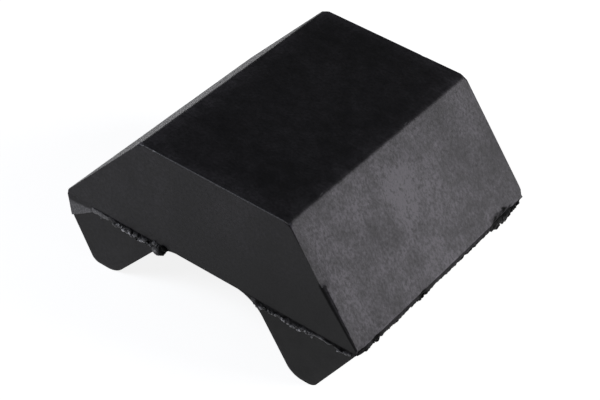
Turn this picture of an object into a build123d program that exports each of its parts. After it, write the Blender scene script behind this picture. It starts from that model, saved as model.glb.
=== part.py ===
"""Moulded rubber speed bump block: a sloping hump on two tapered foot ribs, with torn mould flash.

The block is compression moulded black rubber. A trapezoid hump stands on a flat parting plane.
Two foot ribs run the full length below that plane, with an open channel between them.
Flash, the thin rubber squeezed out where the mould halves met, is left torn along the parting
plane on the ends and sides. Every piece is bonded where it touches its neighbours.

Frame: +X across the bump, +Y along it, +Z up, origin on the ground at the middle of the feet.
"""

import os
from math import sin

from build123d import *

os.makedirs("parts", exist_ok=True)

# ---- hump, mm ----
base_width = 165.0  # across the bottom edges of the two sloping flanks
top_width = 82.5  # flat top, before the left shoulder is set in
left_shoulder_set_in = 1.2  # the left shoulder was moulded this much further in than the right one
hump_height = 50.0  # bottom edge of the flanks to the flat top
edge_land = 2.0  # upright strip between the flanks and the parting plane
length = 141.5  # along the bump, end face to end face
shoulder_radius = 1.2  # long edges beside the flat top
end_radius = 0.7  # edges round each end face
land_radius = 0.9  # where a flank turns down into the upright strip

# ---- foot ribs, mm ----
foot_depth = 33.0  # parting plane to the ground
channel_width = 51.0  # between the inner roots of the two ribs
foot_setback = 0.5  # rib ends stand this far behind the hump's end faces
root_radius = 20.0  # hollow sweep from a rib's inner side to the underside
toe_thickness = 0.5  # feather edge where that sweep runs out
toe_reach = 12.5  # from the inner root to the tip of the feather edge
sole_inner_radius = 10.0
sole_outer_radius = 5.0
right_sole_inset = 20.0  # outer corner of the right sole, in from the base's edge
right_sole_width = 12.0
left_sole_inset = 16.5  # the left rib was moulded a little further out and broader
left_sole_width = 13.5
shoulder_drop = 11.5  # height of the steep top stretch of the left rib's outer side
shoulder_inset = 3.0  # how far that stretch leans in

# ---- flash, mm ----
end_flash_out = 1.2  # proud of an end face
side_flash_out = 1.0  # proud of the base's long edges
flash_rise = 0.9  # laps this far up the hump
end_flash_drop = 4.4  # laps this far down a rib's end
side_flash_hang = 2.6  # hangs this far below the parting plane
flash_bond = 1.0  # height of a side flash that bears on its rib
bite_pitch = 7.0  # spacing of the torn notches in a flash's lower edge
bite_depth = 0.7
bite_radius = 1.2
corner_margin = 3.0  # bare stretch of an end face beside the base's corner
lump_width = 9.5  # curled lump at the left rib's inner root
lump_hang = 7.0
lump_lap = 5.5  # the part of its width that lies over the rib's end
lump_radius = 2.5
flap_width = 15.0  # loose flap at the front left corner
flap_thickness = 1.0
flap_drop = 3.5  # height of its narrow inner end
chunk_margin = 3.5  # from the back end to the torn chunk on the right side
chunk_length = 28.0
chunk_hang = 4.8

# ---- levels and places that follow from the sizes above ----
half_base = base_width / 2
half_top = top_width / 2
back = length / 2
front = -back
flank_foot = foot_depth + edge_land
top = flank_foot + hump_height
root_x = channel_width / 2
toe_x = root_x - toe_reach
right_lean = right_sole_inset / foot_depth
left_lean = shoulder_inset / shoulder_drop
chunk_back = back - chunk_margin
chunk_front = chunk_back - chunk_length
flap_end = -half_base + flap_width
lump_start = -root_x - lump_lap


def save(piece, name):
    """Label a finished piece and write it to its own STEP file."""
    piece.part.label = name
    export_step(piece.part, f"parts/{name}.step")


def bite_places(start, end):
    """Middles of the torn notches between two ends, unevenly spaced as a tear is."""
    count = max(1, int((end - start) / bite_pitch) - 1)
    step = (end - start) / (count + 1)
    return [start + step * (i + 1 + 0.28 * sin(5.1 * i + end)) for i in range(count)]


def rib(side, outline):
    """One foot rib from its cross-section, side 1 for the right one and -1 for the left one.

    The outline starts at the inner root, and runs round by the toe, the base's edge and the
    sole's outer corner to the sole's inner corner, which are its last two points.
    """
    corners = [(side * x, z) for x, z in outline]
    with BuildPart() as piece:
        with BuildSketch(Plane.XZ.offset(front + foot_setback)):
            with BuildLine():
                Polyline(*corners, close=True)
            make_face()
            fillet(vertices().sort_by_distance(corners[0])[0], radius=root_radius)
            fillet(vertices().sort_by_distance(corners[-2])[0], radius=sole_outer_radius)
            fillet(vertices().sort_by_distance(corners[-1])[0], radius=sole_inner_radius)
        extrude(amount=length - 2 * foot_setback)
    return piece


def end_flash(end, start, stop):
    """A torn bead across a rib's end, end -1 for the front and 1 for the back."""
    rib_end = back - foot_setback
    lip = back + end_flash_out
    section = [
        (back, foot_depth),
        (back, foot_depth + flash_rise),
        (lip, foot_depth),
        (lip, foot_depth - end_flash_drop + bite_depth),
        (rib_end, foot_depth - end_flash_drop),
        (rib_end, foot_depth),
    ]
    with BuildPart() as piece:
        with BuildSketch(Plane.YZ.offset(start)):
            with BuildLine():
                Polyline(*[(end * y, z) for y, z in section], close=True)
            make_face()
        extrude(amount=stop - start)
        bite_z = foot_depth - end_flash_drop + bite_depth - bite_radius
        with Locations(*[(x, end * lip, bite_z) for x in bite_places(start, stop)]):
            Cylinder(bite_radius, 2 * end_flash_out, rotation=(90, 0, 0), mode=Mode.SUBTRACT)
    return piece


def side_flash(side, start, stop, hang, lean):
    """A torn skirt along the base's edge, side 1 for the right and -1 for the left.

    lean is how far the rib's outer side leans in for each millimetre it drops.
    """
    lip = half_base + side_flash_out
    section = [
        (half_base, foot_depth),
        (half_base, foot_depth + flash_rise),
        (lip, foot_depth),
        (lip, foot_depth - hang + bite_depth),
        (half_base, foot_depth - hang),
        (half_base - flash_bond * lean, foot_depth - flash_bond),
    ]
    with BuildPart() as piece:
        with BuildSketch(Plane.XZ.offset(-stop)):
            with BuildLine():
                Polyline(*[(side * x, z) for x, z in section], close=True)
            make_face()
        extrude(amount=stop - start)
        bite_z = foot_depth - hang + bite_depth - bite_radius
        with Locations(*[(side * lip, y, bite_z) for y in bite_places(start, stop)]):
            Cylinder(bite_radius, 2 * side_flash_out, rotation=(0, 90, 0), mode=Mode.SUBTRACT)
    return piece


# ---- hump: the trapezoid block that vehicles drive over ----
with BuildPart() as hump_block:
    with BuildSketch(Plane.XZ.offset(front)):
        with BuildLine():
            Polyline(
                (-half_base, foot_depth),
                (-half_base, flank_foot),
                (-half_top + left_shoulder_set_in, top),
                (half_top, top),
                (half_base, flank_foot),
                (half_base, foot_depth),
                close=True,
            )
        make_face()
    extrude(amount=length)
    shoulders = hump_block.edges().filter_by(Axis.Y).group_by(Axis.Z)[-1]
    fillet(shoulders, radius=shoulder_radius)
    flank_edges = hump_block.edges().filter_by(Axis.Y).group_by(Axis.Z)[1]
    fillet(flank_edges, radius=land_radius)
    for end_index in (0, -1):
        end_edges = hump_block.faces().sort_by(Axis.Y)[end_index].edges()
        fillet(end_edges.filter_by(lambda edge: edge.center().Z > flank_foot), radius=end_radius)
save(hump_block, "hump_block")

# ---- foot ribs: they stand on the ground, or drop into slots cut in it ----
rib_top = [(root_x, foot_depth - toe_thickness), (toe_x, foot_depth - toe_thickness)]
rib_top += [(toe_x, foot_depth), (half_base, foot_depth)]
right_sole = [(half_base - right_sole_inset, 0), (half_base - right_sole_inset - right_sole_width, 0)]
right_foot = rib(1, rib_top + right_sole)
save(right_foot, "right_foot")

left_shoulder = [(half_base - shoulder_inset, foot_depth - shoulder_drop)]
left_sole = [(half_base - left_sole_inset, 0), (half_base - left_sole_inset - left_sole_width, 0)]
left_foot = rib(-1, rib_top + left_shoulder + left_sole)
save(left_foot, "left_foot")

# ---- flash across the ribs' ends ----
save(end_flash(-1, root_x, half_base - corner_margin), "front_right_flash")
save(end_flash(-1, flap_end, lump_start), "front_left_flash")
save(end_flash(1, root_x, half_base - corner_margin), "back_right_flash")
save(end_flash(1, -half_base + corner_margin, -root_x), "back_left_flash")

# ---- flash along the base's long edges ----
save(side_flash(-1, front + foot_setback, back - foot_setback, side_flash_hang, left_lean), "left_side_flash")
save(side_flash(1, front + foot_setback, chunk_front, side_flash_hang, right_lean), "right_side_flash")
save(side_flash(1, chunk_front, chunk_back, chunk_hang, right_lean), "torn_corner_flash")

# ---- curled lump where the front flash ends at the left rib's inner root ----
with BuildPart() as curled_root_flash:
    with BuildSketch(Plane.XZ.offset(back)):
        with BuildLine():
            Polyline(
                (lump_start, foot_depth + flash_rise),
                (lump_start + lump_width, foot_depth + flash_rise),
                (lump_start + lump_width, foot_depth - lump_hang),
                (lump_start, foot_depth - lump_hang),
                close=True,
            )
        make_face()
        fillet(vertices().group_by(Axis.Y)[0], radius=lump_radius)
    extrude(amount=end_flash_out)
save(curled_root_flash, "curled_root_flash")

# ---- loose flap that hangs over the left rib's end at the front corner ----
with BuildPart() as corner_flap:
    with BuildSketch(Plane.XZ.offset(back - foot_setback)):
        with BuildLine():
            Polyline(
                (-half_base, foot_depth),
                (flap_end, foot_depth),
                (flap_end, foot_depth - flap_drop),
                (-half_base + shoulder_inset, foot_depth - shoulder_drop),
                close=True,
            )
        make_face()
    extrude(amount=flap_thickness)
save(corner_flap, "corner_flap")
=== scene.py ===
"""Looks of the moulded rubber speed bump block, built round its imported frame.

The block is one compression moulding of carbon black rubber: a hump with sloping flanks on two
tapered foot ribs. Where the mould halves met, thin flash was squeezed out and torn away. Each
class below makes and dresses one of those pieces. Lengths are in millimetres until a mesh is
finished, and in metres from there on.
"""

import logging
import math
import random
from dataclasses import dataclass, field, replace
from enum import Enum
from typing import Callable

import bmesh
import bpy
from bmesh.types import BMesh, BMLayerItem, BMVert
from bpy.types import Material, NodeSocket, NodeTree, Object
from mathutils import Matrix, Quaternion, Vector, noise


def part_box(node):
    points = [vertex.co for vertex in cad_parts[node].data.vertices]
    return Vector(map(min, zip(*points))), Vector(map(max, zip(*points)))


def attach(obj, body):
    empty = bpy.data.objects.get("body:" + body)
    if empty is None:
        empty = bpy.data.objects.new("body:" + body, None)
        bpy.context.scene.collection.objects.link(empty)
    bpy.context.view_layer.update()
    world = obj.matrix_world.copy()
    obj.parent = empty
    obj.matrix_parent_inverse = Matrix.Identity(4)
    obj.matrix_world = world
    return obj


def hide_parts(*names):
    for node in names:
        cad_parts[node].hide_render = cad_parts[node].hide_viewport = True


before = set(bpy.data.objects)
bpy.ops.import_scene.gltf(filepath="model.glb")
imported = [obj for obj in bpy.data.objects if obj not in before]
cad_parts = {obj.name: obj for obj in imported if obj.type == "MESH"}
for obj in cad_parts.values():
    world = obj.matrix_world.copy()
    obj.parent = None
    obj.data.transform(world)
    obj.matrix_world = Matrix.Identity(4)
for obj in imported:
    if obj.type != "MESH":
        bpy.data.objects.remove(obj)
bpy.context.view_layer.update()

LOG = logging.getLogger("speed_bump")
MM = 0.001
ROOT = "root"
CREASE = 50.0  # degrees; sharper edges than this stay sharp on the moulded pieces
TOUCH = 0.01  # millimetres; closer than this counts as the same place
ROUNDING_FACES = 4  # across each of the hump's rounded edges
AXES = (Vector((1, 0, 0)), Vector((0, 1, 0)), Vector((0, 0, 1)))
LAYERS = ("grit", "bloom_and_painted_light", "pale", "torn")  # what each mesh says about the rubber and its painted light and shade, per vertex
SMOOTH_GRIT = 0.2  # how gritty the plain moulded faces are
Paint = dict[str, BMLayerItem]  # a mesh's layer for each of those names


class Side(Enum):
    """The two sides of the block, with the sign of X on each."""

    LEFT = -1
    RIGHT = 1


class End(Enum):
    """The two ends of the block, with the sign of Y at each."""

    FRONT = -1
    BACK = 1


# ---------------------------------------------------------------- small helpers


def box_mm(node: str) -> tuple[Vector, Vector]:
    """Give a frame node's lowest and highest corners.

    Args:
        node: The node's name.

    Returns:
        The two corners, in millimetres.
    """
    low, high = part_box(node)
    return Vector(low) / MM, Vector(high) / MM


def smooth(value: float, low: float, high: float) -> float:
    """Give 0 below low, 1 above high and a smooth step between."""
    share = min(1.0, max(0.0, (value - low) / (high - low)))
    return share * share * (3 - 2 * share)


def mixed(one: float, other: float, share: float) -> float:
    """Give the value at a share of the way from one to the other."""
    return one + (other - one) * share


def drift(place: Vector, size: float, seed: float = 0.0) -> float:
    """Give soft noise from about -1 to 1 whose lumps are size millimetres across."""
    return noise.noise(place / size + Vector((seed, 1.7 * seed, -seed)))


def tear(place: Vector, size: float, seed: float = 0.0) -> float:
    """Give rough many-scaled noise from about -1 to 1, as torn rubber has."""
    return noise.fractal(place / size + Vector((seed, -seed, 0.6 * seed)), 0.8, 2.1, 4)


def extruded(outline: list[tuple[float, float]], start: float, length: float) -> BMesh:
    """Make a prism along Y from an outline in X and Z.

    Args:
        outline: The corners, in order.
        start: Where the prism starts on Y.
        length: How far it runs along Y.

    Returns:
        The new closed mesh.
    """
    bm = bmesh.new()
    corners = [bm.verts.new((x, start, z)) for x, z in outline]
    cap = bm.faces.new(corners)
    grown = bmesh.ops.extrude_face_region(bm, geom=[cap])["geom"]
    moved = [item for item in grown if isinstance(item, BMVert)]
    bmesh.ops.translate(bm, vec=(0, length, 0), verts=moved)
    bmesh.ops.recalc_face_normals(bm, faces=bm.faces[:])
    return bm


def round_edges(
    bm: BMesh,
    width: float,
    segments: int,
    wanted: Callable[[Vector, Vector], bool],
) -> None:
    """Round some of a mesh's edges.

    Args:
        bm: The mesh.
        width: The distance from the old edge to the start of the rounding.
        segments: The number of faces across the rounding.
        wanted: Says from an edge's two ends whether it is rounded.
    """
    edges = [e for e in bm.edges if wanted(e.verts[0].co, e.verts[1].co)]
    bmesh.ops.bevel(
        bm,
        geom=edges,
        offset=width,
        offset_type="OFFSET",
        segments=segments,
        profile=0.5,
        affect="EDGES",
        clamp_overlap=True,
        material=-1,
    )


def runs_at(axis: int, value: float) -> Callable[[Vector, Vector], bool]:
    """Say that an edge has both its ends at one value of X (0), Y (1) or Z (2)."""
    return lambda a, b: max(abs(a[axis] - value), abs(b[axis] - value)) < TOUCH


def slice_mesh(bm: BMesh, normal: Vector, places: list[float]) -> None:
    """Cut a mesh's faces along parallel planes, so that it can be shaped between the cuts.

    Args:
        bm: The mesh.
        normal: The planes' normal.
        places: Each plane's distance from the origin along the normal.
    """
    for place in places:
        bmesh.ops.bisect_plane(
            bm,
            geom=bm.verts[:] + bm.edges[:] + bm.faces[:],
            dist=1e-4,
            plane_co=normal * place,
            plane_no=normal,
        )


def spaced(low: float, high: float, step: float) -> list[float]:
    """Give places about a step apart between two values, without the two ends."""
    count = max(1, round((high - low) / step))
    return [low + (high - low) * i / count for i in range(1, count)]


def paint_layers(bm: BMesh) -> Paint:
    """Give a mesh the four values that the rubber finish reads at each vertex."""
    for layer in LAYERS:
        bm.verts.layers.float.new(layer)
    return {layer: bm.verts.layers.float[layer] for layer in LAYERS}


def keep_inside(bm: BMesh, low: Vector, high: Vector) -> None:
    """Hold every vertex of a mesh within a box."""
    for vert in bm.verts:
        vert.co = Vector([min(high[i], max(low[i], vert.co[i])) for i in range(3)])


def in_scene(name: str, data: bpy.types.ID) -> Object:
    """Put a new object with a mesh, light or camera into the scene."""
    item = bpy.data.objects.new(name, data)
    bpy.context.scene.collection.objects.link(item)
    return item


def finished(
    bm: BMesh,
    name: str,
    material: Material,
    nodes: tuple[str, ...],
    crease: float = 180.0,
) -> Object:
    """Turn a mesh in millimetres into a piece that stands for frame nodes.

    Args:
        bm: The mesh, which is used up.
        name: The piece's name.
        material: Its finish.
        nodes: The frame nodes that it stands for.
        crease: Edges that turn by more than this many degrees are drawn sharp.

    Returns:
        The new object.
    """
    bmesh.ops.recalc_face_normals(bm, faces=bm.faces[:])
    bmesh.ops.scale(bm, vec=(MM, MM, MM), verts=bm.verts[:])
    mesh = bpy.data.meshes.new(name)
    bm.to_mesh(mesh)
    bm.free()
    mesh.shade_smooth()
    mesh.set_sharp_from_angle(angle=math.radians(crease))
    mesh.materials.append(material)
    piece = in_scene(name, mesh)
    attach(piece, ROOT)
    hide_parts(*nodes)
    LOG.info("%s: %d faces", name, len(mesh.polygons))
    return piece


# ---------------------------------------------------------------- finishes


def linear(hex_colour: str) -> tuple[float, float, float, float]:
    """Turn an sRGB hex colour into linear RGBA.

    Args:
        hex_colour: Six hex digits.

    Returns:
        Linear red, green, blue and an alpha of 1.
    """
    channels = [int(hex_colour[i : i + 2], 16) / 255 for i in (0, 2, 4)]
    light = [c / 12.92 if c <= 0.04045 else ((c + 0.055) / 1.055) ** 2.4 for c in channels]
    return (light[0], light[1], light[2], 1.0)


def add_node(
    tree: NodeTree,
    kind: str,
    settings: dict[str, object] | None = None,
    inputs: dict[str | int, object] | None = None,
    output: str | int = 0,
) -> NodeSocket | None:
    """Add a shader node with its settings and links.

    Args:
        tree: The node tree.
        kind: The node's type name, without its ShaderNode prefix.
        settings: The node's own properties.
        inputs: A value, or an output socket to link, for each input.
        output: The output that is wanted.

    Returns:
        That output, or nothing for a node without any.
    """
    node = tree.nodes.new(f"ShaderNode{kind}")
    for key, value in (settings or {}).items():
        setattr(node, key, value)
    for key, value in (inputs or {}).items():
        if isinstance(value, NodeSocket):
            tree.links.new(value, node.inputs[key])
        else:
            node.inputs[key].default_value = value
    return node.outputs[output] if len(node.outputs) else None


def empty_material(name: str) -> Material:
    """Make a material whose node tree is still empty."""
    material = bpy.data.materials.new(name)
    material.use_nodes = True
    material.node_tree.nodes.clear()
    return material


def surfaced(material: Material, surface: dict[str, object]) -> Material:
    """Give a material its shader and its output.

    Args:
        material: The material, with whatever the shader's inputs need.
        surface: A value or a socket for each of the shader's inputs.

    Returns:
        The same material.
    """
    shader = add_node(material.node_tree, "BsdfPrincipled", {}, surface)
    add_node(material.node_tree, "OutputMaterial", {}, {"Surface": shader})
    return material


def between(low: float, high: float, to_low: float, to_high: float) -> dict[str, float]:
    """Name the two ranges of a Map Range node."""
    return {"From Min": low, "From Max": high, "To Min": to_low, "To Max": to_high}


def lumps(size_mm: float, detail: float, roughness: float) -> dict[str, float]:
    """Name the inputs of a Noise Texture node whose lumps are a size in millimetres."""
    return {"Scale": 1 / (size_mm * MM), "Detail": detail, "Roughness": roughness}


@dataclass(frozen=True)
class Rubber:
    """Carbon black rubber, compression moulded in a grit-blasted steel mould.

    The blasted walls leave a suede-like grain that scatters light, and wax that has come to the
    surface since, called bloom, greys it in cloudy patches; the same grey is laid on as painted
    light, which lifts the flanks above the top and lightens the ends towards their upper left.
    Where flash was pulled off, the rubber is torn into pits and crumbs: the pits, the cracks and
    some edges are painted near black as painted shade, and the crumbs and stretched rims are
    whitened, partly as painted highlight. A mesh says at each vertex how gritty, bloomed, pale and
    torn it is there, and where light and shade are painted.
    """

    name: str
    base: str = "131314"  # carbon black soaks up nearly all light
    bloom_and_painted_light: str = "605d63"  # the wax film is a slightly purple grey, also laid on as painted light
    pale: str = "bcbbbf"  # stretched thin rubber whitens; also a painted highlight on edges and crests
    torn: str = "050505"  # a torn-open face has no skin; also painted shade in cracks, pits and along edges
    ior: float = 1.52
    specular: float = 0.11  # the matt grain breaks up part of the surface's own reflection
    sheen: float = 0.28  # wax and dust on the grain catch the light at a grazing angle
    sheen_roughness: float = 0.25
    smoothest: float = 0.43
    roughest: float = 0.55
    cloud_mm: float = 24.0
    blotch_mm: float = 6.0
    suede_mm: float = 1.7  # the real grain is finer, drawn coarse enough to show
    grain_mm: float = 0.7  # as above
    grain_depth_mm: float = 0.16
    slope_stretch: float = 1.25  # the grain is drawn out down the slopes, as the block was pulled

    def material(self) -> Material:
        """Build the node material."""
        material = empty_material(self.name)
        tree = material.node_tree
        paint = {
            layer: add_node(tree, "Attribute", {"attribute_name": layer}, output="Fac")
            for layer in LAYERS
        }
        place = add_node(tree, "TexCoord", output="Object")
        stretch = {"Vector": place, "Scale": (1.0, self.slope_stretch, 1.0)}
        drawn = add_node(tree, "Mapping", {}, stretch)
        clouds, blotches, suede, grain = [
            add_node(tree, "TexNoise", {}, {"Vector": where} | lumps(size_mm, detail, rough))
            for where, size_mm, detail, rough in (
                (place, self.cloud_mm, 3.0, 0.55),
                (place, self.blotch_mm, 4.0, 0.6),
                (drawn, self.suede_mm, 3.0, 0.7),
                (drawn, self.grain_mm, 2.0, 0.7),
            )
        ]

        # bloom and the painted light lie in clouds, broken into blotches and then into the suede's
        # own specks
        share = paint["bloom_and_painted_light"]
        for value, spread in (
            (clouds, between(0.3, 0.7, 0.6, 1.35)),
            (blotches, between(0.3, 0.7, 0.7, 1.3)),
            (suede, between(0.32, 0.68, 0.45, 1.55)),
        ):
            part = add_node(tree, "MapRange", {}, {"Value": value} | spread)
            share = add_node(tree, "Math", {"operation": "MULTIPLY"}, {0: share, 1: part})
        speck = add_node(tree, "MapRange", {}, {"Value": grain} | between(0.4, 0.64, 0.5, 1.3))
        paleness = add_node(tree, "Math", {"operation": "MULTIPLY"}, {0: paint["pale"], 1: speck})
        colour = linear(self.base)
        coats = ((share, self.bloom_and_painted_light), (paleness, self.pale), (paint["torn"], self.torn))
        for amount, tint in coats:
            inputs = {"Factor": amount, 6: colour, 7: linear(tint)}
            colour = add_node(tree, "Mix", {"data_type": "RGBA"}, inputs, output=2)

        height = add_node(tree, "Math", {"operation": "ADD"}, {0: suede, 1: grain})
        gritty = {"Value": paint["grit"]} | between(0, 1, 0.1, 1.0)
        strength = add_node(tree, "MapRange", {}, gritty)
        depth = {"Strength": strength, "Distance": self.grain_depth_mm * MM, "Height": height}
        relief = add_node(tree, "Bump", {}, depth)
        spread = between(0.3, 0.7, self.smoothest, self.roughest)
        skin = add_node(tree, "MapRange", {}, {"Value": blotches} | spread)
        torn_skin = {0: paint["torn"], 2: skin, 3: 1.0}
        roughness = add_node(tree, "Mix", {"data_type": "FLOAT"}, torn_skin)
        surface = {
            "Base Color": colour,
            "Roughness": roughness,
            "IOR": self.ior,
            "Specular IOR Level": self.specular,
            "Sheen Weight": self.sheen,
            "Sheen Roughness": self.sheen_roughness,
            "Normal": relief,
        }
        return surfaced(material, surface)


@dataclass(frozen=True)
class LitAcrylic:
    """White acrylic of a light table, lit softly from below, which the block stands on."""

    name: str
    white: str = "b8b8b8"
    glow: float = 0.86  # bright enough that the floor shows as paper white
    roughness: float = 0.7

    def material(self) -> Material:
        """Build the node material."""
        surface = {
            "Base Color": linear(self.white),
            "Roughness": self.roughness,
            "Specular IOR Level": 0.0,
            "Emission Color": (1.0, 1.0, 1.0, 1.0),
            "Emission Strength": self.glow,
        }
        return surfaced(empty_material(self.name), surface)


# ---------------------------------------------------------------- the hump


@dataclass(frozen=True)
class EdgeTrim:
    """The trimmed front right edge of the hump, between its front face and right flank.

    Above the nick a long shallow shaving was taken off the flank, deeper and deeper down to the
    nick. Below it the edge was cut across both faces.
    """

    nick: float = 60.5  # height above the ground
    across_front: tuple[float, float, float] = (0.0, 1.0, 0.8)  # at the top, the nick, the foot
    along_shaving: tuple[float, float] = (1.0, 9.0)  # at the top, the nick
    cut_across: float = 1.8  # across the front, just below the nick
    along_cut: tuple[float, float] = (2.0, 0.5)  # just below the nick, at the foot

    def reach(self, place: Vector, low: float, high: float) -> tuple[float, float, float]:
        """Give how far the trim reaches at a height.

        Args:
            place: A point on the block.
            low: Height of the flank's bottom edge.
            high: Height of the top.

        Returns:
            Its reach along the flank from the front face, its reach across the front face from
            the flank, and how far the cut below the nick has taken over, from 0 to 1.
        """
        top, nick, foot = self.across_front
        ragged = 1 + 0.12 * tear(place, 2.5, 1.3)
        if place.z > self.nick:
            share = (high - place.z) / (high - self.nick)
            return mixed(*self.along_shaving, share), mixed(top, nick, share), 0.0
        share = min(1.0, (self.nick - place.z) / (self.nick - low))
        return mixed(*self.along_cut, share) * ragged, mixed(self.cut_across, foot, share), 1.0


@dataclass(frozen=True)
class BloomAndLightPatch:
    """The paler cloud of bloom and painted light on each flank."""

    middle: float = -2.0  # along Y
    half_length: float = 26.0
    up: float = 0.62  # as a share of the flank's height
    half_height: float = 0.36

    def at(self, along: float, height: float) -> float:
        """Give its strength, from 0 to 1, at a place on Y and a share of the flank's height."""
        off_middle = (along - self.middle) / self.half_length
        off_height = (height - self.up) / self.half_height
        return math.exp(-(off_middle**2) - off_height**2)


@dataclass
class HumpBlock:
    """The trapezoid block that wheels drive over."""

    node: str = "hump_block"
    top_width: float = 82.5
    left_set_in: float = 1.2  # the left shoulder stands this much further in
    edge_land: float = 2.0  # height of the upright strip under each flank
    shoulder_radius: float = 1.2
    end_radius: float = 0.7
    land_radius: float = 0.9
    step: float = 1.8  # the grid that the faces are cut into
    loops: tuple[float, ...] = (0.95, 1.4, 2.0, 2.8, 3.9, 5.4)  # cuts this far from each edge
    wave_mm: float = 34.0  # the faces are slightly uneven, over about this far
    wave_depth: float = 0.08
    wear: float = 0.14  # how far an edge is rubbed back, across its corner
    chip: float = 0.7  # how deep its chips go
    corner_wear: float = 2.4  # how far a top or back corner is rubbed back
    worn_from: float = 45.0  # corners above this height are rubbed, fully so 15 mm higher
    worn_back: float = 50.0  # and so are those behind this, along Y, fully so 10 mm on
    # the flanks' bloom, with painted light that lifts them above the top
    flank_bloom_and_light: float = 0.5
    top_bloom: float = 0.075
    end_bloom: float = 0.02
    edge_highlight: float = 0.24  # how pale the painted highlight on the top's front edge is
    shade_from: float = -66.0  # the end faces' bottom edges are painted with shade from here on, along X
    shade_strip_height: float = 0.5  # height of that painted shade's strip above the parting plane
    bottom_edge_shade: float = 0.5  # how dark the painted shade is
    patch: BloomAndLightPatch = field(default_factory=BloomAndLightPatch)
    trim: EdgeTrim = field(default_factory=EdgeTrim)
    tears: tuple[tuple[float, float, float], ...] = (  # on the right edge: along Y, then how high
        (-71.5, -62.0, -0.7),
        (-59.5, -53.0, -1.0),
        (-22.0, -16.0, -1.0),
        (41.0, 60.0, 1.3),
    )
    low: Vector = field(init=False)
    high: Vector = field(init=False)

    def __post_init__(self) -> None:
        """Take the block's box from the frame."""
        self.low, self.high = box_mm(self.node)

    @property
    def half_base(self) -> float:
        """Half the width across the bottom edges of the flanks."""
        return self.high.x

    @property
    def flank_foot(self) -> float:
        """Height of the bottom edges of the flanks."""
        return self.low.z + self.edge_land

    def half_top(self, side: Side) -> float:
        """Give how far a shoulder is from the middle."""
        return self.top_width / 2 - (self.left_set_in if side is Side.LEFT else 0.0)

    def end_gap(self, place: Vector) -> float:
        """Give how far a place is from the nearer end face."""
        return min(place.y - self.low.y, self.high.y - place.y)

    def up_flank(self, place: Vector) -> float:
        """Give how high a place is, as a share of the flanks' height."""
        return (place.z - self.flank_foot) / (self.high.z - self.flank_foot)

    def near_left(self, place: Vector, start: float, full: float) -> float:
        """Give 1 within a distance of the top's left side, and 0 beyond a longer one.

        Args:
            place: A point on the top's front edge.
            start: The longer distance.
            full: The shorter one.

        Returns:
            The share, which rises smoothly between the two.
        """
        return smooth(-place.x, self.top_width / 2 - start, self.top_width / 2 - full)

    def flank_normal(self, side: Side) -> Vector:
        """Give the outward normal of a flank."""
        run = self.half_base - self.half_top(side)
        rise = self.high.z - self.flank_foot
        return Vector((side.value * rise, 0, run)).normalized()

    def flank_depth(self, place: Vector, side: Side) -> float:
        """Give how deep a place lies under a flank."""
        corner = Vector((side.value * self.half_base, 0, self.flank_foot))
        return (corner - place).dot(self.flank_normal(side))

    def depths(self, place: Vector) -> list[tuple[float, Vector]]:
        """Give how deep a place lies under each outer face.

        Args:
            place: A point on or in the block.

        Returns:
            A depth and an outward normal for each face, the shallowest first.
        """
        found = [
            (self.high.z - place.z, Vector((0, 0, 1))),
            (place.y - self.low.y, Vector((0, -1, 0))),
            (self.high.y - place.y, Vector((0, 1, 0))),
        ]
        for side in Side:
            found.append((self.flank_depth(place, side), self.flank_normal(side)))
            found.append((self.half_base - side.value * place.x, Vector((side.value, 0, 0))))
        return sorted(found, key=lambda item: item[0])

    def build(self, material: Material) -> Object:
        """Make the worn block with its rounded edges.

        Args:
            material: The rubber finish.

        Returns:
            The finished piece.
        """
        outline = [
            (-self.half_base, self.low.z),
            (-self.half_base, self.flank_foot),
            (-self.half_top(Side.LEFT), self.high.z),
            (self.half_top(Side.RIGHT), self.high.z),
            (self.half_base, self.flank_foot),
            (self.half_base, self.low.z),
        ]
        bm = extruded(outline, self.low.y, self.high.y - self.low.y)
        self._round(bm)
        self._slice(bm)
        layers = paint_layers(bm)
        bm.normal_update()
        for vert in bm.verts:
            self._paint(vert, layers)
        for vert in bm.verts:
            if vert.co.z > self.low.z + TOUCH:
                self._weather(vert, layers)
        return finished(bm, "hump_block_moulding", material, (self.node,), CREASE)

    def _round(self, bm: BMesh) -> None:
        """Round the shoulders, the flanks' feet and the edges of the end faces."""
        bends = ((self.high.z, self.shoulder_radius), (self.flank_foot, self.land_radius))
        for height, radius in bends:
            level = runs_at(2, height)
            round_edges(bm, radius, ROUNDING_FACES, lambda a, b: level(a, b) and abs(a.y - b.y) > 1)
        bottom = runs_at(2, self.low.z)
        for end in (self.low.y, self.high.y):
            face = runs_at(1, end)
            round_edges(
                bm, self.end_radius, ROUNDING_FACES, lambda a, b: face(a, b) and not bottom(a, b)
            )

    def _slice(self, bm: BMesh) -> None:
        """Cut the faces into a grid, with loops close to each edge."""
        inner = self.loops[-1]
        for side in Side:
            normal = self.flank_normal(side)
            face = Vector((side.value * self.half_base, 0, self.flank_foot)).dot(normal)
            slice_mesh(bm, normal, [face - depth for depth in self.loops])
        levels = [self.high.z - depth for depth in self.loops]
        levels += spaced(self.low.z, self.high.z - inner, self.step)
        levels.append(self.low.z + self.shade_strip_height)
        slice_mesh(bm, AXES[2], levels)
        near = [self.low.y + depth for depth in self.loops]
        far = [self.high.y - depth for depth in self.loops]
        middle = spaced(self.low.y + inner, self.high.y - inner, self.step)
        slice_mesh(bm, AXES[1], near + middle + far)
        slice_mesh(bm, AXES[0], spaced(self.low.x, self.high.x, self.step))

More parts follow.
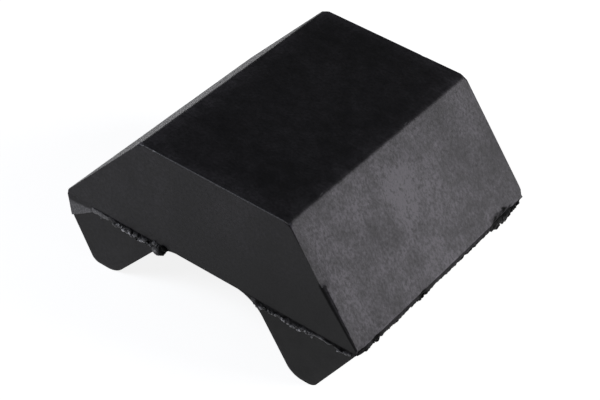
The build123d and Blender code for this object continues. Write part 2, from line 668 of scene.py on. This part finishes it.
    def _paint(self, vert: BMVert, layers: Paint) -> None:
        """Mark how gritty and bloomed the rubber is at a vertex, and where light and shade are
        painted on it.

        Args:
            vert: The vertex, still in its moulded place.
            layers: The mesh's paint layers.
        """
        place, normal = vert.co, vert.normal
        flat_top = smooth(normal.z, 0.8, 0.97)
        # painted light: sloped faces take the flanks' lighter bloom, the ends theirs
        sloped = smooth(abs(normal.x), 0.35, 0.7) * (1 - smooth(abs(normal.y), 0.3, 0.8))
        bloom_and_painted_light = mixed(self._bloom_and_light_on_end(place), self._bloom_and_light_on_flank(place), sloped)
        vert[layers["bloom_and_painted_light"]] = mixed(bloom_and_painted_light, self._bloom_on_top(place), flat_top)
        vert[layers["grit"]] = SMOOTH_GRIT + (1 - SMOOTH_GRIT) * sloped * (1 - flat_top)
        # painted shade along the end faces' bottom edges
        if place.z < self.low.z + 0.1 and abs(normal.y) > 0.5 and place.x > self.shade_from:
            vert[layers["torn"]] = self.bottom_edge_shade
        # painted highlight along the middle of the top's front rounding
        if place.z > self.high.z - self.end_radius and place.y < self.low.y + self.end_radius:
            midway = math.sin(math.pi * smooth(normal.z, 0.05, 0.95))
            vert[layers["pale"]] = self._painted_edge_highlight(place) * midway

    def _cloud(self, place: Vector) -> float:
        """Give how thickly the bloom has gathered at a place, in slow clouds about 0.5."""
        return 0.5 + 0.5 * drift(place, 26.0, 5.0)

    def _bloom_and_light_on_flank(self, place: Vector) -> float:
        """Give a flank's bloom with its painted light, thick in its patch and thinner at its rims
        and towards the back.
        """
        rim = 1 - smooth(min(self.end_gap(place), self.high.z - place.z + 2), 0.0, 11.0)
        far = smooth(place.y, -5.0, 60.0)
        thick = 0.3 * self.patch.at(place.y, self.up_flank(place)) + 0.12 * self._cloud(place)
        return self.flank_bloom_and_light + thick - 0.06 * rim - 0.11 * far

    def _bloom_on_top(self, place: Vector) -> float:
        """Give the top's bloom, which is thin and gathers towards its rims."""
        shoulder = min(self.flank_depth(place, side) for side in Side)
        rim = 1 - smooth(min(self.end_gap(place), shoulder * 1.2), 0.0, 10.0)
        return self.top_bloom + 0.11 * rim * (0.6 + 0.4 * self._cloud(place))

    def _bloom_and_light_on_end(self, place: Vector) -> float:
        """Give an end face's bloom, which is thin, with painted light that fades from its upper
        left.
        """
        upper_left = 0.55 * self.up_flank(place) - 0.45 * place.x / self.half_base
        cloudy = upper_left + 0.1 * drift(place, 30.0, 9.0)
        return self.end_bloom + 0.09 * smooth(cloudy, -0.35, 0.6)

    def _painted_edge_highlight(self, place: Vector) -> float:
        """Give the painted highlight on the top's front edge, in dashes near its left end."""
        dashes = smooth(tear(Vector((place.x, 0, 0)), 1.8, 1.6), -0.25, 0.25)
        rubbed = self.edge_highlight + self.near_left(place, 14.0, 7.0) * (1.6 * dashes - 0.1)
        return min(1.0, max(0.0, rubbed))

    def _weather(self, vert: BMVert, layers: Paint) -> None:
        """Wear, chip and trim the edges, and make the faces slightly uneven.

        Args:
            vert: The vertex to move.
            layers: The mesh's paint layers.
        """
        place = vert.co.copy()
        nearest = self.depths(place)
        (first, one), (second, other), (third, last) = nearest[:3]
        uneven = self.wave_depth * (0.5 + 0.5 * drift(place, self.wave_mm, 0.4))
        vert.co -= vert.normal * uneven
        chips = smooth(tear(place, 3.4, 8.4), 0.5, 0.85)
        if place.z > self.high.z - 2 and place.y < self.low.y + 2:
            scuffed = smooth(tear(place, 1.8, 2.9), 0.0, 0.4)
            chips = max(chips, self.near_left(place, 16.0, 4.0) * 0.7 * scuffed)
        # an edge is rubbed back square to its two faces, and a corner to its three
        worn = self.wear * (1 + 0.6 * drift(place, 11.0, 3.1)) + self.chip * chips
        if worn > first + second and one.dot(other) < 0.95:
            vert.co -= (one + other) * (worn - first - second) / 2
            vert[layers["pale"]] = max(vert[layers["pale"]], 0.12 * chips)
        high_up = smooth(place.z, self.worn_from, self.worn_from + 15.0)
        rubbed = max(high_up, smooth(place.y, self.worn_back, self.worn_back + 10.0))
        blunt = self.corner_wear * rubbed - first - second - third
        if blunt > 0 and min(one.dot(other), one.dot(last), other.dot(last)) < 0.9:
            vert.co -= (one + other + last) * blunt / 3
        self._trim(vert, place, layers)
        self._tear_edge(vert, place, layers)

    def _trim(self, vert: BMVert, place: Vector, layers: Paint) -> None:
        """Cut the front right edge back where it was trimmed.

        Args:
            vert: The vertex to move.
            place: Where it was moulded.
            layers: The mesh's paint layers.
        """
        along = place.y - self.low.y
        across = self.flank_depth(place, Side.RIGHT)
        reach_along, reach_across, cut = self.trim.reach(place, self.flank_foot, self.high.z)
        if min(reach_along, reach_across) < 0.05:
            return
        under = 1 - along / reach_along - across / reach_across
        if under <= 0:
            return
        lean = Vector((0, -1, 0)) / reach_along + self.flank_normal(Side.RIGHT) / reach_across
        vert.co -= lean * under / lean.length_squared
        if cut:
            middle = 1 - 2 * abs(0.5 - along / reach_along)
            vert[layers["bloom_and_painted_light"]] = 0.25 * middle
            vert[layers["torn"]] = 0.3 * (1 - middle)
            vert[layers["grit"]] = SMOOTH_GRIT

    def _tear_edge(self, vert: BMVert, place: Vector, layers: Paint) -> None:
        """Tear the right edge open where the flash took some of it along.

        Args:
            vert: The vertex to move.
            place: Where it was moulded.
            layers: The mesh's paint layers.
        """
        if self.half_base - place.x > 3:
            return
        for start, end, rise in self.tears:
            inside = smooth(place.y, start, start + 2.5) * smooth(end - place.y, 0.0, 2.5)
            border = self.flank_foot + rise + 1.5 * tear(place, 4.0, 4.4)
            open_share = inside * smooth(border - place.z, -0.3, 0.5)
            if open_share > 0:
                vert.co.x -= 0.7 * open_share * (0.4 + 0.6 * abs(tear(place, 1.4, 7.1)))
                depth = 0.55 + 0.45 * smooth(tear(place, 2.2, 9.3), -0.25, 0.15)
                vert[layers["torn"]] = max(vert[layers["torn"]], open_share * depth)


# ---------------------------------------------------------------- the foot ribs


@dataclass
class FootRib:
    """One full-length tapered rib under the hump."""

    side: Side
    node: str
    sole_inset: float
    sole_width: float
    shoulder: tuple[tuple[float, float], ...] = ()  # inset and drop of points on its outer side
    channel_width: float = 51.0
    toe_thickness: float = 0.5
    toe_reach: float = 12.5
    root_radius: float = 20.0
    sole_inner_radius: float = 10.0
    sole_outer_radius: float = 5.0
    end_radius: float = 0.7
    step: float = 2.2  # the grid that the faces are cut into
    wave_mm: float = 22.0
    wave_depth: float = 0.12
    low: Vector = field(init=False)
    high: Vector = field(init=False)

    def __post_init__(self) -> None:
        """Take the rib's box from the frame."""
        self.low, self.high = box_mm(self.node)

    def build(self, material: Material) -> Object:
        """Make the rib with its hollow root and rounded sole.

        Args:
            material: The rubber finish.

        Returns:
            The finished piece.
        """
        parting = self.high.z
        half_base = max(self.high.x, -self.low.x)
        root = (self.channel_width / 2, parting - self.toe_thickness)
        toe_x = root[0] - self.toe_reach
        sole_outer = (half_base - self.sole_inset, self.low.z)
        sole_inner = (sole_outer[0] - self.sole_width, self.low.z)
        outline = [root, (toe_x, root[1]), (toe_x, parting), (half_base, parting)]
        outline += [(half_base - inset, parting - drop) for inset, drop in self.shoulder]
        outline += [sole_outer, sole_inner]
        turned = [(self.side.value * x, z) for x, z in outline]
        bm = extruded(turned, self.low.y, self.high.y - self.low.y)
        self._round_corner(bm, root, sole_inner, outline[1], self.root_radius, 14)
        self._round_corner(bm, sole_outer, outline[-3], sole_inner, self.sole_outer_radius, 6)
        self._round_corner(bm, sole_inner, sole_outer, root, self.sole_inner_radius, 8)
        under_toe = root[1] - 0.6  # the feather edge's own edges are too thin to round
        for end in (self.low.y, self.high.y):
            face = runs_at(1, end)
            round_edges(
                bm, self.end_radius, 3, lambda a, b: face(a, b) and min(a.z, b.z) < under_toe
            )
        for normal in AXES:
            reach = spaced(self.low.dot(normal), self.high.dot(normal), self.step)
            slice_mesh(bm, normal, reach)
        self._weather(bm)
        return finished(bm, f"{self.node}_moulding", material, (self.node,), CREASE)

    def _round_corner(
        self,
        bm: BMesh,
        corner: tuple[float, float],
        before: tuple[float, float],
        after: tuple[float, float],
        radius: float,
        segments: int,
    ) -> None:
        """Round the long edge at one corner of the cross-section.

        Args:
            bm: The rib's mesh.
            corner: The corner's X and Z on the right-hand rib.
            before: The corner on one side of it.
            after: The corner on its other side.
            radius: The rounding's radius.
            segments: The number of faces across it.
        """
        spot = Vector(corner)
        one = (Vector(before) - spot).normalized()
        other = (Vector(after) - spot).normalized()
        width = radius / math.tan(one.angle(other) / 2)
        x = self.side.value * corner[0]

        def is_corner(a: Vector, b: Vector) -> bool:
            """Say that an edge runs along this corner."""
            return runs_at(0, x)(a, b) and runs_at(2, corner[1])(a, b)

        round_edges(bm, width, segments, is_corner)

    def _weather(self, bm: BMesh) -> None:
        """Make the faces slightly uneven, and mark their grit and bloom, with painted light that
        makes the left rib lighter and painted shade on the end roundings.
        """
        layers = paint_layers(bm)
        bm.normal_update()
        for vert in bm.verts:
            turning = abs(vert.normal.y)  # 0 on the long faces, 1 on the ends
            rounding = smooth(turning, 0.15, 0.4) * (1 - smooth(turning, 0.8, 0.98))
            cloud = 0.01 * drift(vert.co, 15.0, 1.1)
            vert[layers["grit"]] = SMOOTH_GRIT
            # painted light: the left rib is lighter than the right
            vert[layers["bloom_and_painted_light"]] = 0.03 - 0.025 * self.side.value + cloud
            # painted shade darkens the end roundings
            vert[layers["torn"]] = 0.5 * rounding
            if self.low.z + TOUCH < vert.co.z < self.high.z - TOUCH:
                uneven = self.wave_depth * (0.5 + 0.5 * drift(vert.co, self.wave_mm, 2.2))
                vert.co -= vert.normal * uneven


# ---------------------------------------------------------------- torn flash


@dataclass(frozen=True)
class Station:
    """How a torn bead is at one place along its length."""

    where: float  # share of the length
    drop: float  # how far it reaches down, in millimetres
    crack: float  # height of the open crack above it
    lumpy: float  # 0 for a smooth lip, 1 for crumbs and pits
    pale: float = 0.0
    torn: float = 0.0
    bloom_and_painted_light: float = 0.05
    stand: float = 1.0  # share of the bead's full thickness

    def towards(self, other: "Station", where: float) -> "Station":
        """Give the station at a place between this one and another."""
        span = max(1e-6, other.where - self.where)
        share = min(1.0, max(0.0, (where - self.where) / span))
        pairs = zip(self.values(), other.values())
        return Station(where, *[mixed(one, two, share) for one, two in pairs])

    def at(self, where: float, **changes: float) -> "Station":
        """Give the same station at another place, with some of its values changed."""
        return replace(self, where=where, **changes)

    def values(self) -> tuple[float, ...]:
        """Give everything but the place."""
        return (self.drop, self.crack, self.lumpy, self.pale, self.torn, self.bloom_and_painted_light, self.stand)


# how each bead is torn along its length, along +X on the ends and +Y on the sides
FRONT_RIGHT_TEAR = (
    Station(0.0, 3.0, 0.2, 0.3, 0.1, stand=0.35),
    Station(0.04, 4.3, 0.4, 0.9, 0.18, stand=0.4),
    Station(0.12, 4.4, 0.8, 1.0, 0.22, stand=0.45),
    Station(0.2, 3.4, 1.9, 0.8, 0.12, stand=0.5),
    Station(0.3, 3.2, 1.8, 0.8, 0.28, stand=0.6),
    Station(0.4, 3.9, 1.8, 1.0, 0.2, stand=0.7),
    Station(0.5, 4.2, 1.3, 1.0, 0.36, stand=0.8),
    Station(0.6, 3.6, 1.0, 0.8, 0.32, stand=0.7),
    Station(0.66, 3.0, 0.9, 0.3, 0.26, stand=0.6),
    Station(0.76, 2.6, 1.1, 0.3, 0.2, stand=0.5),
    Station(0.82, 2.6, 1.4, 0.6, 0.18, stand=0.6),
    Station(0.88, 3.2, 1.8, 0.9, 0.3, stand=0.8),
    Station(1.0, 2.8, 1.3, 0.5, 0.3, stand=0.6),
)
FRONT_LEFT_TEAR = (
    Station(0.0, 3.3, 0.5, 0.1, 0.25, stand=0.35),
    Station(0.12, 3.5, 0.5, 0.25, 0.27, stand=0.35),
    Station(0.25, 3.2, 0.7, 0.4, 0.25, stand=0.4),
    Station(0.34, 2.6, 0.7, 0.5, 0.14, stand=0.4),
    Station(0.42, 3.3, 0.8, 0.9, 0.22, stand=0.6),
    Station(0.55, 4.0, 0.8, 1.0, 0.42, stand=0.7),
    Station(0.75, 4.2, 0.6, 1.0, 0.42, stand=0.8),
    Station(1.0, 4.3, 0.4, 1.0, 0.25, stand=0.9),
)
BACK_TEAR = (
    Station(0.0, 3.0, 0.9, 0.8, 0.3, stand=0.5),
    Station(0.5, 3.6, 0.8, 0.9, 0.4, stand=0.7),
    Station(1.0, 3.0, 1.0, 0.7, 0.3, stand=0.5),
)
# the left skirt carries the flank's bloom and painted light
LEFT_SIDE_TEAR = (
    Station(0.0, 2.0, 0.0, 0.1, bloom_and_painted_light=0.5, stand=0.1),
    Station(0.05, 3.3, 0.0, 0.2, bloom_and_painted_light=0.6, stand=0.5),
    Station(0.5, 3.3, 0.0, 0.6, bloom_and_painted_light=0.5, stand=0.8),
    Station(1.0, 3.3, 0.0, 0.3, bloom_and_painted_light=0.6, stand=0.5),
)
EVEN = Station(0.0, 2.8, 0.0, 0.4, torn=0.5, bloom_and_painted_light=0.2, stand=0.8)
BLACK = Station(0.0, 3.1, 0.0, 1.0, torn=0.85, bloom_and_painted_light=0.0, stand=0.6)
CRUMBLY = replace(BLACK, pale=0.1, torn=0.6, stand=0.9)
RIGHT_SIDE_TEAR = (
    BLACK.at(0.0, drop=1.3, lumpy=0.3, stand=0.15),
    BLACK.at(0.02, drop=2.0, lumpy=0.5, stand=0.3),
    BLACK.at(0.05, drop=2.6, lumpy=0.7),
    EVEN.at(0.075),
    EVEN.at(0.095),
    BLACK.at(0.11),
    BLACK.at(0.15),
    EVEN.at(0.17),
    EVEN.at(0.44),
    BLACK.at(0.455),
    BLACK.at(0.48),
    EVEN.at(0.5),
    EVEN.at(1.0),
)
CHUNK_TEAR = (
    EVEN.at(0.0),
    CRUMBLY.at(0.08, drop=3.8),
    CRUMBLY.at(0.4, drop=5.0),
    CRUMBLY.at(0.6, drop=4.4),
    BLACK.at(0.75, stand=0.4),
    BLACK.at(1.0, drop=2.0, stand=0.15),
)


@dataclass
class TornBead:
    """A ragged bead of flash along the parting line.

    It is shaped as a slab in its own frame: X along it, Y outward from the face that it clings
    to, Z down from the parting line. Then it is turned into place.
    """

    name: str
    node: str
    start: Vector  # on the face and on the parting line
    along: Vector
    outward: Vector
    length: float
    proud: float  # most that it stands out of the face
    sunk: float  # how deep its back is set into the face
    stations: tuple[Station, ...]
    seed: float
    crumbs: int = 0
    tuck: float = 0.75  # how far its lower edge turns in, as a share of its thickness
    feather: float = 1.3  # height over which an uncracked bead grows out of the face
    cell: float = 0.4
    rows: int = 14

    def build(self, material: Material) -> Object:
        """Make the torn bead.

        Args:
            material: The rubber finish.

        Returns:
            The finished piece.
        """
        bm = bmesh.new()
        bmesh.ops.create_cube(bm, size=1.0)
        bmesh.ops.translate(bm, vec=(0.5, 0.5, 0.5), verts=bm.verts[:])
        bmesh.ops.scale(bm, vec=(self.length, 1, 1), verts=bm.verts[:])
        slice_mesh(bm, AXES[0], spaced(0, self.length, self.cell))
        slice_mesh(bm, AXES[2], spaced(0, 1, 1 / self.rows))
        slice_mesh(bm, AXES[1], [0.5])
        layers = paint_layers(bm)
        for vert in bm.verts:
            self._shape(vert, layers)
        self._add_crumbs(bm, layers)
        turn = Matrix((self.along, self.outward, Vector((0, 0, -1)))).transposed().to_4x4()
        bmesh.ops.transform(bm, matrix=Matrix.Translation(self.start) @ turn, verts=bm.verts[:])
        low, high = box_mm(self.node)
        keep_inside(bm, low, high)
        return finished(bm, self.name, material, (self.node,))

    def station(self, s: float) -> Station:
        """Give what the bead is like at a distance along it."""
        where = s / self.length
        for one, other in zip(self.stations, self.stations[1:]):
            if where <= other.where:
                return one.towards(other, where)
        return self.stations[-1]

    def drop(self, s: float) -> float:
        """Give how far down the ragged lower edge is at a distance along the bead."""
        here = self.station(s)
        spot = Vector((s, 0, 0))
        ragged = 1 + (0.12 + 0.4 * here.lumpy) * tear(spot, 3.0, self.seed)
        return here.drop * ragged

    def _shape(self, vert: BMVert, layers: Paint) -> None:
        """Move one corner of the plain slab to its place on the torn bead.

        Args:
            vert: The corner: distance along, then depth and drop as shares from 0 to 1.
            layers: The mesh's paint layers.
        """
        s, out_share, down_share = vert.co
        here = self.station(s)
        down = down_share * self.drop(s)
        spot = Vector((s, 0, down))
        drawn = Vector((s / 1.6, 0, down))
        across = Vector((s, 0, 0))
        # the crack above the bead is uneven in height, and its lip fades out where it closes
        uneven = 0.7 * drift(across, 3.0, self.seed + 7) + 0.45 * tear(across, 1.6, self.seed + 8)
        crack = here.crack * (1 + uneven)
        cracked = smooth(here.crack, 0.0, 0.2)
        lip = 1 - (1 - smooth(down, crack - 0.3, crack + 0.35)) * cracked
        feather = 1 - (1 - smooth(down, 0.0, self.feather)) * (1 - cracked)
        tucked = 1 - self.tuck * down_share**4
        # lumps stand out of its face between pits that go nearly through it
        pit = here.lumpy * smooth(tear(drawn, 2.1, self.seed + 2), 0.08, 0.4)
        lump = 0.75 + here.lumpy * 1.1 * tear(spot, 2.0, self.seed + 9)
        full = self.proud * here.stand
        rise = full * lip * feather * tucked * max(0.05, lump * (1 - 0.97 * pit))
        rise = min(self.proud, rise) + 0.04
        jitter = 0.35 * here.lumpy * drift(spot, 1.0, self.seed + 5) * out_share
        vert.co = Vector((s + jitter, out_share * (self.sunk + rise) - self.sunk, down + jitter))
        # crests and the stretched rim are pale, stress-whitened and painted with highlight; the
        # crack, the pits and the torn lower edge are painted black as painted shade
        crest = smooth(rise / self.proud, 0.35, 0.9)
        rim = smooth(down_share, 0.5, 0.85)
        crumbly = here.lumpy * (0.45 * crest + 0.55 * rim)
        vert[layers["pale"]] = here.pale * lip * (1 - here.lumpy + crumbly)
        deepest = 0.4 + 0.6 * smooth(drift(across, 3.5, self.seed + 1), -0.25, 0.25)
        broken = 0.35 + 0.65 * smooth(drift(across, 2.5, self.seed + 3), -0.3, 0.2)
        edge = broken * smooth(down_share, 0.35, 0.65) * (1 - smooth(here.pale, 0.0, 0.2))
        vert[layers["torn"]] = max(here.torn, (1 - lip) * deepest, pit, edge)
        vert[layers["grit"]] = 0.3 + 0.7 * max(here.lumpy, here.bloom_and_painted_light)
        vert[layers["bloom_and_painted_light"]] = here.bloom_and_painted_light * (1 - edge)

    def _add_crumbs(self, bm: BMesh, layers: Paint) -> None:
        """Stick crumbs to the lumpy stretches of the bead.

        Args:
            bm: The bead's mesh, in its own frame.
            layers: The mesh's paint layers.
        """
        dice = random.Random(int(self.seed * 10) + 1)
        for _ in range(self.crumbs):
            s = dice.uniform(0.03, 0.97) * self.length
            here = self.station(s)
            radius = dice.uniform(0.35, 0.85)
            squash = Vector([dice.uniform(*r) for r in ((0.8, 1.6), (0.6, 0.9), (0.6, 1.1))])
            down = here.crack + dice.uniform(0.1, 1.0) ** 0.5 * max(0.0, self.drop(s) - here.crack)
            paleness = min(1.0, here.pale * dice.uniform(0.0, 1.7) ** 1.5)
            if dice.random() > here.lumpy**3:
                continue
            made = bmesh.ops.create_icosphere(bm, subdivisions=2, radius=radius)["verts"]
            bmesh.ops.scale(bm, vec=squash, verts=made)
            for vert in made:
                vert.co += vert.co.normalized() * 0.3 * radius * tear(vert.co * 3, 1.0, s)
                vert[layers["pale"]] = paleness
                vert[layers["torn"]] = here.torn
                vert[layers["grit"]] = 1.0
            bmesh.ops.translate(bm, vec=(s, 0.5 * self.proud - 0.2 * radius, down), verts=made)


@dataclass
class CurledLump:
    """A curl of torn flash that hangs at the left rib's inner root."""

    node: str = "curled_root_flash"
    name: str = "curled_root_lump"
    depth: float = 1.4
    swell: float = 0.5

    def build(self, material: Material) -> Object:
        """Make the curl from a few swollen lobes.

        Args:
            material: The rubber finish.

        Returns:
            The finished piece.
        """
        low, high = box_mm(self.node)
        width, height = high.x - low.x, high.z - low.z
        bm = bmesh.new()
        layers = paint_layers(bm)
        lobes = (  # across and up as shares of the box, then half width and half height likewise
            (0.26, 0.42, 0.28, 0.42),
            (0.52, 0.48, 0.26, 0.40),
            (0.12, 0.70, 0.16, 0.27),
            (0.70, 0.78, 0.20, 0.20),
        )
        for index, (across, up, wide, tall) in enumerate(lobes):
            made = bmesh.ops.create_icosphere(bm, subdivisions=4, radius=1.0)["verts"]
            bmesh.ops.scale(bm, vec=(wide * width, self.depth, tall * height), verts=made)
            centre = Vector((low.x + across * width, low.y + self.depth, low.z + up * height))
            bmesh.ops.translate(bm, vec=centre, verts=made)
            for vert in made:
                away = (vert.co - centre).normalized()
                bump = tear(vert.co, 2.0, 3.0 + index)
                vert.co += away * self.swell * bump
                # painted highlight on the swellings of its left part; painted shade in its hollows
                # and over its right part
                lit = smooth(bump, 0.0, 0.5) * smooth(-vert.co.x, 26.0, 29.0)
                vert[layers["pale"]] = 0.08 + 0.22 * lit
                hollow = smooth(-bump, 0.05, 0.4)
                vert[layers["torn"]] = max(hollow, smooth(vert.co.x, -28.0, -26.0))
                vert[layers["grit"]] = 1.0
        keep_inside(bm, low, high + Vector((0, 2 * self.depth, 0)))
        return finished(bm, self.name, material, (self.node,))


@dataclass
class CornerFlap:
    """A thin loose flap of flash over the left rib's end at the front corner."""

    node: str = "corner_flap"
    name: str = "corner_flap_skin"
    shoulder_inset: float = 3.0
    inner_drop: float = 3.5
    cell: float = 0.5
    paleness: float = 0.25

    def build(self, material: Material) -> Object:
        """Make the tapered flap with its torn lower edge.

        Args:
            material: The rubber finish.

        Returns:
            The finished piece.
        """
        low, high = box_mm(self.node)
        outline = [
            (low.x + 0.1, high.z),
            (high.x, high.z),
            (high.x, high.z - self.inner_drop),
            (low.x + self.shoulder_inset, low.z),
        ]
        bm = extruded(outline, low.y, high.y - low.y)
        slice_mesh(bm, AXES[0], spaced(low.x, high.x, self.cell))
        slice_mesh(bm, AXES[2], spaced(low.z, high.z, self.cell))
        layers = paint_layers(bm)
        for vert in bm.verts:
            place = vert.co.copy()
            down = (high.z - place.z) / (high.z - low.z)
            inward = (place.x - low.x) / (high.x - low.x)
            border = 3.2 - 1.2 * inward + 0.3 * drift(place, 3.0, 4.0)
            shade = smooth(high.z - place.z, border - 0.7, border + 0.9) * (0.75 + 0.25 * inward)
            vert[layers["pale"]] = self.paleness * shade * (0.85 + 0.15 * drift(place, 5.0, 2.0))
            vert[layers["grit"]] = SMOOTH_GRIT
            vert[layers["bloom_and_painted_light"]] = 0.1
            ragged = 0.4 * tear(Vector((place.x, 0, 0)), 3.0, 6.0) * smooth(down, 0.1, 0.5)
            vert.co.z += ragged
            if place.y < (low.y + high.y) / 2:
                vert.co.y += 0.54 - 0.24 * down + 0.06 * drift(place, 4.0, 1.0)
        keep_inside(bm, low, high)
        return finished(bm, self.name, material, (self.node,), CREASE)


# ---------------------------------------------------------------- the studio


def aim_at(
    item: Object, aim: Vector, azimuth: float, elevation: float, distance: float, roll: float = 0.0
) -> None:
    """Stand a light or a camera off from a point and face it there.

    Args:
        item: The light or camera.
        aim: The point that it faces.
        azimuth: Where it stands, in degrees from +Y towards +X.
        elevation: How high it stands, in degrees.
        distance: How far off it stands.
        roll: How far it is rolled about its own line of sight, in degrees.
    """
    turn, rise = math.radians(azimuth), math.radians(elevation)
    level = math.cos(rise)
    away = Vector((math.sin(turn) * level, math.cos(turn) * level, math.sin(rise)))
    item.location = aim + away * distance
    item.rotation_mode = "QUATERNION"
    upright = (-away).to_track_quat("-Z", "Y")
    item.rotation_quaternion = upright @ Quaternion((0, 0, 1), math.radians(roll))


@dataclass(frozen=True)
class Softbox:
    """A rectangular diffused light that faces the block."""

    name: str
    azimuth: float  # degrees from +Y towards +X
    elevation: float
    distance: float
    width: float
    height: float
    radiance: float
    tint: str = "ffffff"

    def build(self, aim: Vector) -> Object:
        """Place the light.

        Args:
            aim: The point that it faces.

        Returns:
            The light's object.
        """
        light = bpy.data.lights.new(self.name, "AREA")
        light.shape = "RECTANGLE"
        light.size, light.size_y = self.width, self.height
        light.energy = self.radiance * math.pi * self.width * self.height
        light.color = linear(self.tint)[:3]
        lamp = in_scene(self.name, light)
        aim_at(lamp, aim, self.azimuth, self.elevation, self.distance)
        return lamp


@dataclass
class Studio:
    """Pale floor, soft lights and the camera."""

    room_grey: float = 0.05
    floor_size: float = 6.0
    aim: Vector = field(default_factory=lambda: Vector((0.00416, -0.00475, 0.03504)))
    camera_azimuth: float = 147.77
    camera_elevation: float = 39.91
    camera_distance: float = 0.848
    camera_roll: float = 5.86
    focal_length: float = 108.1
    softboxes: tuple[Softbox, ...] = (
        Softbox("right_softbox", 54.0, 17.0, 1.2, 1.0, 0.6, 7.0),
        Softbox("front_left_softbox", -146.0, 41.0, 0.75, 0.35, 0.35, 4.5, "eef3ff"),
    )

    def build(self) -> None:
        """Set up the floor, the lights and the camera."""
        self._floor()
        world = bpy.data.worlds.new("studio_room")
        world.use_nodes = True
        grey = self.room_grey
        world.node_tree.nodes["Background"].inputs["Color"].default_value = (grey, grey, grey, 1)
        bpy.context.scene.world = world
        for softbox in self.softboxes:
            softbox.build(self.aim)
        self._camera()
        bpy.context.scene.view_settings.view_transform = "Standard"

    def _floor(self) -> None:
        """Lay the pale floor under the block."""
        bm = bmesh.new()
        bmesh.ops.create_grid(bm, x_segments=1, y_segments=1, size=self.floor_size / 2)
        mesh = bpy.data.meshes.new("floor")
        bm.to_mesh(mesh)
        bm.free()
        mesh.materials.append(LitAcrylic("lit_acrylic_floor").material())
        floor = in_scene("floor", mesh)

    def _camera(self) -> None:
        """Aim the camera at the block."""
        data = bpy.data.cameras.new("camera")
        data.lens = self.focal_length
        data.sensor_width = 36.0
        data.clip_start = 0.01
        camera = in_scene("camera", data)
        turn = (self.camera_azimuth, self.camera_elevation)
        aim_at(camera, self.aim, *turn, self.camera_distance, self.camera_roll)
        bpy.context.scene.camera = camera


# ---------------------------------------------------------------- assembly


def end_bead(node: str, end: End, seed: float, stations: tuple[Station, ...]) -> TornBead:
    """Describe the torn bead across one rib's end.

    Args:
        node: The frame node of the flash.
        end: Which end of the block.
        seed: Sets its tears apart from the others'.
        stations: What it is like along +X.

    Returns:
        The bead, ready to build.
    """
    low, high = box_mm(node)
    rib_low, rib_high = box_mm("left_foot")
    return TornBead(
        name=f"{node}_bead",
        node=node,
        start=Vector((low.x, rib_low.y if end is End.FRONT else rib_high.y, rib_high.z)),
        along=Vector((1, 0, 0)),
        outward=Vector((0, end.value, 0)),
        length=high.x - low.x,
        proud=high.y - low.y - 0.05,
        sunk=0.6,
        stations=stations,
        seed=seed,
        crumbs=75,
    )


def side_bead(node: str, side: Side, seed: float, stations: tuple[Station, ...]) -> TornBead:
    """Describe the torn skirt along one of the base's long edges.

    Args:
        node: The frame node of the flash.
        side: Which side of the block.
        seed: Sets its tears apart from the others'.
        stations: What it is like along +Y.

    Returns:
        The skirt, ready to build.
    """
    low, high = box_mm(node)
    half_base = box_mm("hump_block")[1].x
    return TornBead(
        name=f"{node}_skirt",
        node=node,
        start=Vector((side.value * half_base, low.y, high.z)),
        along=Vector((0, 1, 0)),
        outward=Vector((side.value, 0, 0)),
        length=high.y - low.y,
        proud=0.95,
        sunk=1.4,
        stations=stations,
        seed=seed,
        tuck=0.15,
        crumbs=50,
    )


def main() -> None:
    """Build every piece, then the studio."""
    logging.basicConfig(level=logging.INFO, format="%(message)s")
    hump_rubber = Rubber("moulded_rubber_hump").material()
    foot_rubber = Rubber("moulded_rubber_foot").material()
    flash = Rubber("torn_rubber_flash", specular=0.1, sheen=0.1, grain_depth_mm=0.25)
    flash_rubber = flash.material()

    HumpBlock().build(hump_rubber)
    FootRib(Side.RIGHT, "right_foot", 20.0, 12.0).build(foot_rubber)
    FootRib(Side.LEFT, "left_foot", 16.5, 13.5, shoulder=((3.0, 11.5),)).build(foot_rubber)

    end_bead("front_right_flash", End.FRONT, 1.0, FRONT_RIGHT_TEAR).build(flash_rubber)
    end_bead("front_left_flash", End.FRONT, 2.0, FRONT_LEFT_TEAR).build(flash_rubber)
    end_bead("back_right_flash", End.BACK, 3.0, BACK_TEAR).build(flash_rubber)
    end_bead("back_left_flash", End.BACK, 4.0, BACK_TEAR).build(flash_rubber)

    side_bead("left_side_flash", Side.LEFT, 5.0, LEFT_SIDE_TEAR).build(flash_rubber)
    side_bead("right_side_flash", Side.RIGHT, 6.0, RIGHT_SIDE_TEAR).build(flash_rubber)
    side_bead("torn_corner_flash", Side.RIGHT, 7.0, CHUNK_TEAR).build(flash_rubber)
    CurledLump().build(flash_rubber)
    CornerFlap().build(flash_rubber)
    Studio().build()


if __name__ == "__main__":
    main()
